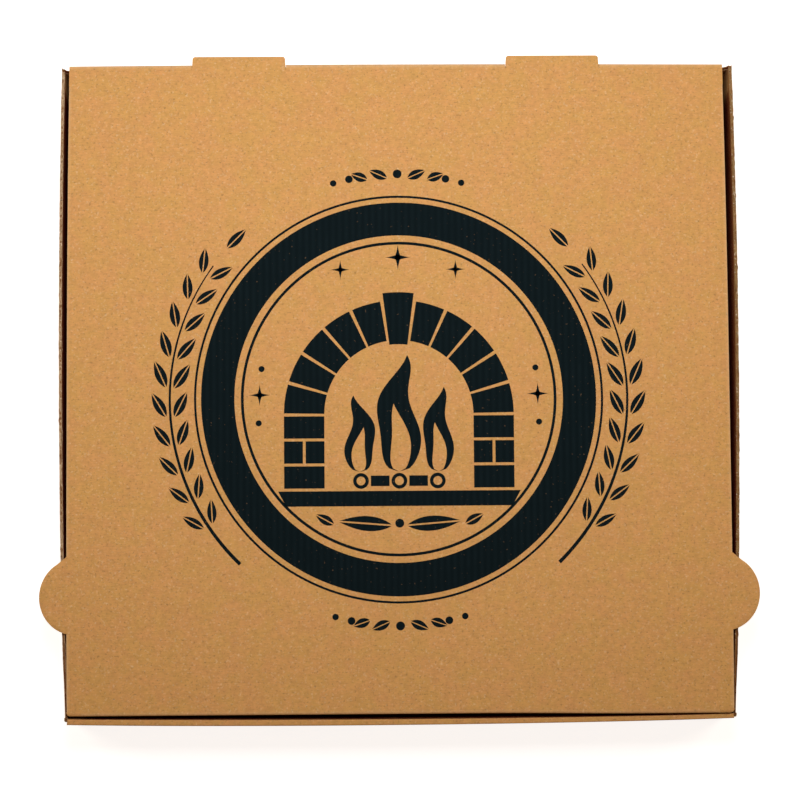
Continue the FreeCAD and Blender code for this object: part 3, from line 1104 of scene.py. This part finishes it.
@dataclass
class Lid(Assembly):
    """Upper half: panel, tabs, ears, side flaps and tuck flap.

    A tab's rounded corner is given by distances to its tip and what its half width gains there.
    """

    tab_corner: tuple[Point, ...] = ((1.0, 0.15), (0.3, -0.25), (0.0, -1.0))
    ear_join: float = math.radians(30)

    @property
    def edge(self) -> float:
        """X at which the side folds begin."""
        return self.sizes.panel_half - self.sizes.board.fold

    @property
    def rear_end(self) -> float:
        """Y at which the fold to the rear wall begins."""
        return self.sizes.rear - self.sizes.board.fold

    def _lay(self, s: float, a: float, w: float) -> Vector:
        """Place a flat stretch whose blank axes are Y and X."""
        return self.sizes.bulge(Vector((a, s, self.sizes.hinge[1] + w)))

    def _add_flat(self, name: str, rows: Sequence[float], columns: Sequence[float],
                  place: Place | None = None, **more: object) -> None:
        """Add a flat stretch whose top leaves room for the film of ink."""
        self._add(name, rows, columns, place or self._lay, top_film=self.sizes.board.film, **more)

    def panel(self) -> None:
        """Flat panel between the folds."""
        z = self.sizes
        self._add_flat("lid_panel", spread(z.lid_front + z.board.fold, self.rear_end, 10),
                       spread(-self.edge, self.edge, 10))

    def tabs(self) -> None:
        """Tabs behind the lid, with soft cut edges."""
        z = self.sizes
        tip, slope, half = z.rear + z.tab_length, z.tab_slope, z.tab_width / 2
        corner = [(tip - back, half - slope + gain) for back, gain in self.tab_corner]
        for side in Side:
            c = side.value * z.tab_place + z.tab_shift

            def pinch(s: float, a: float, c: float = c) -> float:
                """Share of the thickness left by the tab's tip and sides."""
                past = s - z.rear
                beside = soft_edge(half - slope * past / z.tab_length - abs(a - c)) if past > 0 else 1.0
                return min(soft_edge(tip - s), beside)

            self._add_flat(f"rear_tab_{side.label}", spread(self.rear_end, tip, 1.2, (0.25, 0.6, 1.0)),
                           spread(c - half, c + half, 3, (0.3, 0.6, 1.0, 1.6)),
                           outline=both_sides([(self.rear_end, half), *corner], c), pinch=pinch)

    def ear(self, side: Side) -> None:
        """Round ear beside the lid, with a soft cut edge."""
        z, y = self.sizes, self.sizes.ear_y
        centre = z.panel_half - z.ear_inset
        low, high = y - z.ear_chord, y + z.ear_chord + z.ear_flare
        bow = arc((y, centre), z.ear_radius, self.ear_join, math.pi - z.ear_angle, 72)
        outline = [(high, self.edge), (high, z.panel_half), *bow, (low, self.edge)]

        def pinch(s: float, a: float) -> float:
            """Share of the thickness left by the ear's round edge."""
            return soft_edge(z.ear_radius - math.hypot(s - y, a - centre)) if a > z.panel_half else 1.0

        self._add_flat(f"ear_{side.label}", spread(low - 0.5, high + 0.5, 0.8),
                       spread(self.edge, centre + z.ear_radius + 0.2, 0.8),
                       lambda s, a, w: self._lay(s, side.value * a, w), outline=outline, pinch=pinch)

    def side_flap(self, side: Side) -> None:
        """Side flap with its fold, slanted ends and the notch that the ear left."""
        z, b = self.sizes, self.sizes.board
        path = FoldPath((self.edge, z.hinge[1]), 0,
                        [Move(0, -90 - z.side_flap_lean, b.crease), Move(z.side_flap)])
        low, high = z.lid_front + b.fold, z.hinge[0] - z.side_flap_start
        end, fold_end, taper = path.length, path.length - z.side_flap, z.side_flap_taper
        flare = z.ear_y + z.ear_chord + z.ear_flare
        reach = math.pi / 2 - z.ear_angle
        bow = arc((fold_end - b.half - z.ear_inset, z.ear_y), z.ear_radius, reach, -reach, 40)
        notch = [(-1.0, flare), (fold_end, flare - 0.4), *bow[1:], (-1.0, z.ear_y - z.ear_chord)]
        ends = [[(fold_end, at - out), (fold_end, at), (end, at + out * taper), (end + 1, at + out * taper),
                 (end + 1, at - out)] for at, out in ((low, 1), (high, -1))]

        def place(s: float, a: float, w: float) -> Vector:
            """Fold a point of the blank into place."""
            x, height = path.locate(s, w)
            return z.bulge(Vector((side.value * x, a, height)))

        self._add(f"side_flap_{side.label}", path.stations(6), spread(low, high, 8), place,
                  flutes=Flutes.ALONG_FOLD, waste=[notch, *ends], crease=path.crease)

    def tuck_flap(self) -> None:
        """Front flap with its fold."""
        z, b = self.sizes, self.sizes.board
        half = z.panel_half - z.tuck_inset
        path = FoldPath((z.lid_front + b.fold, z.hinge[1]), 180,
                        [Move(0, 90 + z.tuck_lean, b.crease), Move(z.tuck_flap)], worn_at=0.55, wear=0.35)
        end, fold_end, narrow = path.length, path.length - z.tuck_flap, half - z.tuck_taper
        cut = [(fold_end, half + 1), (fold_end, half), (end - 4, narrow + 1), (end - 1, narrow - 1.2),
               (end, narrow - 5), (end + 1, narrow - 5), (end + 1, half + 1)]
        waste = [[(s, sign * a) for s, a in cut] for sign in (-1, 1)]
        self._add("tuck_flap", path.stations(6), spread(-half, half, 9),
                  lambda s, a, w: z.bulge(Vector((a, *path.locate(s, w)))), waste=waste, crease=path.crease)

    def corners(self) -> None:
        """Flat bits of the panel beside the tuck flap and behind the side flaps."""
        z, b = self.sizes, self.sizes.board
        start, (depth, reach) = z.panel_half - z.tuck_inset, z.corner_press
        low, high = z.lid_front, z.lid_front + b.fold
        outline = [(high, start), (low, start), *arc((high, self.edge), b.fold, math.pi, math.pi / 2, 8)]
        for side in Side:
            def place(s: float, a: float, w: float, sign: int = side.value) -> Vector:
                """Lay a point down; the cut edge between the two folds is pressed a little."""
                press = depth * max(0.0, 1 - (s - low) / reach) ** 2
                return self._lay(s, sign * a, w) - Vector((0, 0, press))

            self._add_flat(f"front_corner_{side.label}", spread(low, high, 0.3),
                           spread(start, z.panel_half, 1.5), place, outline=outline)
            self._add_flat(f"rear_corner_{side.label}",
                           spread(z.hinge[0] - z.side_flap_start, self.rear_end, 4),
                           spread(self.edge, z.panel_half, 1), place)

    def build(self) -> list[Object]:
        """Build the whole lid."""
        self.panel()
        self.tabs()
        self.tuck_flap()
        self.corners()
        for side in Side:
            self.ear(side)
            self.side_flap(side)
        return self.pieces


@dataclass
class HingeFold(Assembly):
    """Fold between the rear wall and the lid, in the three stretches that the windows leave."""

    def build(self) -> list[Object]:
        """Build the three stretches."""
        z, b = self.sizes, self.sizes.board
        path = FoldPath((z.rear - b.fold, z.hinge[1]), 0, [Move(0, -90, b.crease)])
        half, move = z.tab_width / 2 + z.slit, z.tab_shift
        inner, outer = z.tab_place - half, z.tab_place + half
        spans = {"left": (-z.panel_half, move - outer), "middle": (move - inner, move + inner),
                 "right": (move + outer, z.panel_half)}

        def place(s: float, a: float, w: float) -> Vector:
            """Fold a point of the blank into place."""
            y, height = path.locate(s, w)
            return Vector((a, y + z.rear_bow(a) * s / path.length, height))

        for name, (low, high) in spans.items():
            self._add(f"hinge_fold_{name}", path.stations(1), spread(low, high, 10), place,
                      crease=path.crease)
        return self.pieces

    def bend(self) -> None:
        """Bake each stretch's placement into its mesh; the stretches are attached to no body."""
        for piece in self.pieces:
            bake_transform(piece)


def ray(angle: float, radius: float = 1.0) -> Vector:
    """Point of the plane at an angle in radians and a distance from its middle."""
    return Vector((radius * math.cos(angle), radius * math.sin(angle)))


@dataclass
class Emblem(Assembly):
    """Dark print on the lid: a brick oven in a roundel between two ears of wheat."""

    centre: Point = (0.0, -3.5)
    rim: float = 98.0
    rim_inner: float = 81.5
    arch: Point = (37.0, 57.0)
    arch_foot: float = -8.0
    bricks: int = 11
    keystone: float = 4.0
    course: float = 12.4
    mortar: float = 0.7
    wheat_radius: float = 113.5
    shapes: BMesh = field(default_factory=bmesh.new)

    def _band(self, first: Curve, second: Curve, steps: int) -> None:
        """Fill the strip between two curves of one parameter from 0 to 1."""
        part = bmesh.new()
        bmesh.ops.create_grid(part, x_segments=steps, y_segments=1, size=1.0)
        for vert in part.verts:
            t = (vert.co.x + 1) / 2
            vert.co = (second if vert.co.y > 0 else first)(t).to_3d()
        bmesh.ops.remove_doubles(part, verts=part.verts[:], dist=1e-4)
        absorb(self.shapes, part)

    def _ring(self, at: Vector, inner: float, outer: float, steps: int,
              span: Point = (0.0, math.tau)) -> None:
        """Fill a ring or a part of one."""
        def curve(radius: float) -> Curve:
            """Arc of a radius."""
            return lambda t: at + ray(span[0] + (span[1] - span[0]) * t, radius)

        self._band(curve(inner), curve(outer), steps)

    def _disc(self, at: Vector, radius: float) -> None:
        """Fill a disc."""
        self._ring(at, 0.0, radius, 28)

    def _slab(self, foot: Triple, head: Triple) -> None:
        """Fill a block between two level edges, each given by its ends' X and its Y."""
        def level(edge: Triple) -> Curve:
            """Straight line along an edge."""
            return lambda t: Vector((edge[0] + (edge[1] - edge[0]) * t, edge[2]))

        self._band(level(foot), level(head), 2)

    def _leaf(self, at: Vector, angle: float, length: float, width: float, rib: float) -> None:
        """Fill the two halves of a leaf on either side of its bare rib."""
        along, beside = ray(angle, length), ray(angle + math.pi / 2)

        def swell(t: float) -> float:
            """Half the leaf's width at a share of its length."""
            return width / 2 * math.sin(math.pi * t ** 0.85) ** 0.8 if 0 < t < 1 else 0.0

        for sign in (-1, 1):
            self._band(lambda t: at + along * (t - 0.5) + beside * sign * rib / 2,
                       lambda t: at + along * (t - 0.5) + beside * sign * max(rib / 2, swell(t)), 18)

    def _star(self, at: Vector, size: float, waist: float = 0.22) -> None:
        """Fill a star of four points."""
        for turn in range(4):
            along, beside = ray(turn * math.pi / 2, size), ray((turn + 1) * math.pi / 2, waist * size)
            self._band(lambda t: at + along * t - beside * (1 - t) ** 1.5,
                       lambda t: at + along * t + beside * (1 - t) ** 1.5, 8)

    def _flame(self, foot: Vector, width: float, height: float, sway: float) -> None:
        """Fill a flame around a bare inner flame."""
        def swell(t: float) -> float:
            """Share of the width at a share of the height."""
            return 1.72 * t ** 0.42 * (1 - t) ** 0.95 if 0 < t < 1 else 0.0

        def edge(sign: int, inner: bool) -> Curve:
            """One side of the outer or the inner flame, from foot to tip."""
            def at(t: float) -> Vector:
                """Point of the side."""
                half = 0.5 * width * (0.5 * swell(min(1.0, t / 0.58)) if inner else swell(t))
                lean = sway * math.sin(2.6 * math.pi * t) * t
                return foot + Vector((lean + sign * half, height * t))
            return at

        for sign in (-1, 1):
            self._band(edge(sign, True), edge(sign, False), 36)

    def _film(self, name: str) -> None:
        """Give the flat shapes the thickness of an ink film and lay them on the lid."""
        z, bm = self.sizes, self.shapes
        self.shapes = bmesh.new()
        bmesh.ops.recalc_face_normals(bm, faces=bm.faces[:])
        thicken(bm, z.board.film)
        # The film's underside sinks a little into the liner
        shift = Vector((*self.centre, z.height - 1.1 * z.board.film))
        for vert in bm.verts:
            vert.co = (vert.co + shift) * MM
        self.pieces.append(finish_mesh(bm, name, [self.finishes.ink]))

    def roundel(self) -> None:
        """Solid rim with a thin ring on either side."""
        low, high = self.rim_inner, self.rim
        rings = (low, high, 200), (low - 4.6, low - 3.2, 160), (high + 2.4, high + 3.5, 200)
        for inner, outer, steps in rings:
            self._ring(Vector((0, 0)), inner, outer, steps)
        self._film("print_roundel")

    def arch_bricks(self) -> None:
        """Arch of bricks with a keystone, on three courses at each side."""
        inner, outer = self.arch
        foot, gap, middle = self.arch_foot, self.mortar, (inner + outer) / 2
        for i in range(self.bricks):
            span = (math.pi * i / self.bricks + gap / middle, math.pi * (i + 1) / self.bricks - gap / middle)
            key = self.keystone if i == self.bricks // 2 else 0.0
            self._ring(Vector((0, foot)), inner - key / 2, outer + key, 8, span)
        for row in range(3):
            top = foot - gap - row * self.course
            cuts = [inner, outer] if row % 2 == 0 else [inner, middle, outer]
            for left, right in zip(cuts, cuts[1:]):
                start, end = left + (gap if left > inner else 0), right - (gap if right < outer else 0)
                for ends in ((-end, -start), (start, end)):
                    self._slab((*ends, top - self.course + 2 * gap), (*ends, top))

    def oven(self) -> None:
        """Brick oven with a fire on logs, over a sprig and under stars."""
        self.arch_bricks()
        hearth = self.arch_foot - 3 * self.course - self.mortar
        self._slab((-56, 56, hearth - 7.5), (-60, 60, hearth))
        for x, width, height, sway in ((0, 27, 58, 4.5), (-19.5, 19, 38, -3.2), (19.5, 19, 42, 3.0)):
            self._flame(Vector((x, hearth + 9.5)), width, height, sway)
        for x in (-19, 0, 19):
            self._ring(Vector((x, hearth + 5.0)), 2.2, 3.9, 28)
        for x in (-9.5, 9.5):
            self._slab((x - 4.6, x + 4.6, hearth + 2.4), (x - 4.6, x + 4.6, hearth + 7.6))
        for sign in (-1, 1):
            back = math.pi * (sign < 0)
            self._leaf(Vector((sign * 17, hearth - 16)), back + 0.08 * sign, 26, 7.4, 0.8)
            self._leaf(Vector((sign * 37, hearth - 14)), back + 0.5 * sign, 10, 4.6, 0.6)
            self._star(Vector((sign * 69, 2)), 5.5)
            self._disc(Vector((sign * 69.5, -12)), 1.5)
            self._disc(Vector((sign * 68, 15)), 1.5)
        self._disc(Vector((0, hearth - 16)), 2.2)
        for angle, size in ((90, 6.5), (66, 5.0), (114, 5.0)):
            self._star(ray(math.radians(angle), 70.5), size)
        self._film("print_oven")

    def wheat_ear(self, side: Side) -> None:
        """Ear of wheat that follows the roundel: a stem that thins out, with pairs of grains."""
        base, sign = (0.0 if side is Side.RIGHT else math.pi), side.value
        low, high, tip = (math.radians(angle) for angle in (-46, 36, 45))

        def stem(edge: int) -> Curve:
            """One side of the stem."""
            return lambda t: ray(base + sign * (low + (high - low) * t),
                                 self.wheat_radius + edge * (0.6 * (1 - t) + 0.3))

        self._band(stem(-1), stem(1), 48)
        for k in range(10):
            angle = math.radians(-32 + 7.4 * k)
            size = 1 - 0.03 * abs(k - 5)
            for out in (-1, 1):
                self._leaf(ray(base + sign * (angle + 0.02), self.wheat_radius + out * 5.4),
                           base + sign * (angle + math.pi / 2 - out * 0.5), 14.0 * size, 5.4 * size, 0.6)
        self._leaf(ray(base + sign * tip, self.wheat_radius), base + sign * (tip + math.pi / 2), 13, 5.0,
                   0.6)

    def wheat(self) -> None:
        """Ear of wheat at each side and a sprig above and below."""
        for side in Side:
            self.wheat_ear(side)
        for pole in (math.pi / 2, -math.pi / 2):
            for k in (-2, -1, 1, 2):
                angle = pole + k * 0.085
                self._leaf(ray(angle, self.wheat_radius - 0.8), angle + math.copysign(math.pi / 2 - 0.5, k),
                           10.5 - abs(k), 4.6, 0.5)
            for k, radius in ((0, 2.2), (-4, 1.6), (-3, 1.9), (3, 1.9), (4, 1.6)):
                self._disc(ray(pole + k * 0.072, self.wheat_radius - 1), radius)
        self._film("print_wheat")

    def build(self) -> list[Object]:
        """Build every shape of the print."""
        self.roundel()
        self.oven()
        self.wheat()
        return self.pieces


@dataclass
class Studio:
    """Camera at the photograph's angle, a white floor and soft light from behind the box."""

    camera_mm: Triple = (-19.94, -109.46, 1338.3)
    camera_turn: Triple = (0.0809, -0.0152, -0.0075)
    focal_px: float = 2626.0
    image_px: float = 800.0
    sensor: float = 36.0

    def camera(self) -> None:
        """Make the camera."""
        data = bpy.data.cameras.new("camera")
        data.sensor_width = self.sensor
        data.lens = self.focal_px / self.image_px * self.sensor
        data.clip_start, data.clip_end = 0.05, 20
        camera = new_object("camera", data)
        camera.location = Vector(self.camera_mm) * MM
        camera.rotation_euler = Euler(self.camera_turn, "XYZ")
        bpy.context.scene.camera = camera

    def lamp(self, name: str, place: Triple, target: Triple, size: float, power: float,
             colour: Triple = (1, 1, 1)) -> None:
        """Hang a square softbox.

        Args:
            name: The lamp's name.
            place: Its place in metres.
            target: The point it faces.
            size: Its side in metres.
            power: Its power in watts.
            colour: The light's linear colour.
        """
        data = bpy.data.lights.new(name, "AREA")
        data.size, data.energy, data.color = size, power, colour
        lamp = new_object(name, data)
        lamp.location = place
        lamp.visible_camera = False
        lamp.rotation_euler = (Vector(target) - Vector(place)).to_track_quat("-Z", "Y").to_euler()

    def floor(self) -> Object:
        """Make the white floor, which keeps the box's shadow."""
        bm = bmesh.new()
        bmesh.ops.create_grid(bm, x_segments=1, y_segments=1, size=6.0)
        bmesh.ops.translate(bm, vec=(0, 0, -0.3 * MM), verts=bm.verts[:])
        material = bpy.data.materials.new("studio_floor")
        node = empty_tree(material)
        ray_kind = node("ShaderNodeLightPath", out="Is Camera Ray")
        matt = node("ShaderNodeBsdfDiffuse", {"Color": (0.8, 0.8, 0.8, 1)})
        lift = node("ShaderNodeEmission", {"Color": (1, 1, 1, 1), "Strength": 0.84})
        lifted = node("ShaderNodeAddShader", {0: matt, 1: lift})
        shown = node("ShaderNodeMixShader", {0: ray_kind, 1: matt, 2: lifted})
        node("ShaderNodeOutputMaterial", {0: shown})
        return finish_mesh(bm, "studio_floor", [material])

    def world(self) -> None:
        """Even fill light, and white for the camera."""
        world = bpy.data.worlds.new("studio")
        bpy.context.scene.world = world
        node = empty_tree(world)
        seen = node("ShaderNodeLightPath", out="Is Camera Ray")
        fill = node("ShaderNodeBackground", {0: (1.0, 0.62, 0.28, 1), 1: 0.15})
        white = node("ShaderNodeBackground", {0: (1, 1, 1, 1), 1: 1.0})
        shown = node("ShaderNodeMixShader", {0: seen, 1: fill, 2: white})
        node("ShaderNodeOutputWorld", {0: shown})

    def build(self) -> None:
        """Set the whole studio."""
        bpy.context.scene.view_settings.view_transform = "Standard"
        self.camera()
        self.lamp("top_softbox", (-0.01, 0.14, 0.6), (-0.01, 0.32, 0), 0.3, 2.2)
        for side in Side:
            self.lamp(f"side_softbox_{side.label}", (side.value * 0.75, 0.3, 0.36), (0, 0, 0.04), 0.4, 1.86,
                      (1.0, 0.95, 0.82))
        self.world()
        self.floor()


def main() -> None:
    """Build the box on the frame and dress it."""
    logging.basicConfig(level=logging.INFO, format="%(name)s: %(message)s")
    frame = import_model()
    LOG.info("frame: %s", frame)
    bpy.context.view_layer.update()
    sizes, finishes = Sizes(), Finishes.build()
    tray = Tray(sizes, finishes).build()
    lid = Lid(sizes, finishes).build()
    emblem = Emblem(sizes, finishes).build()
    hinge = HingeFold(sizes, finishes)
    folds = hinge.build()
    for pieces, body in ((tray, "tray"), (lid + emblem, "lid")):
        for piece in pieces:
            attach(piece, body)
    hinge.bend()
    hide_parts("tray")
    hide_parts("lid")
    for piece in tray + lid + emblem + folds:
        LOG.info("%s: %d faces", piece.name, len(piece.data.polygons))
    Studio().build()


if __name__ == "__main__":
    main()
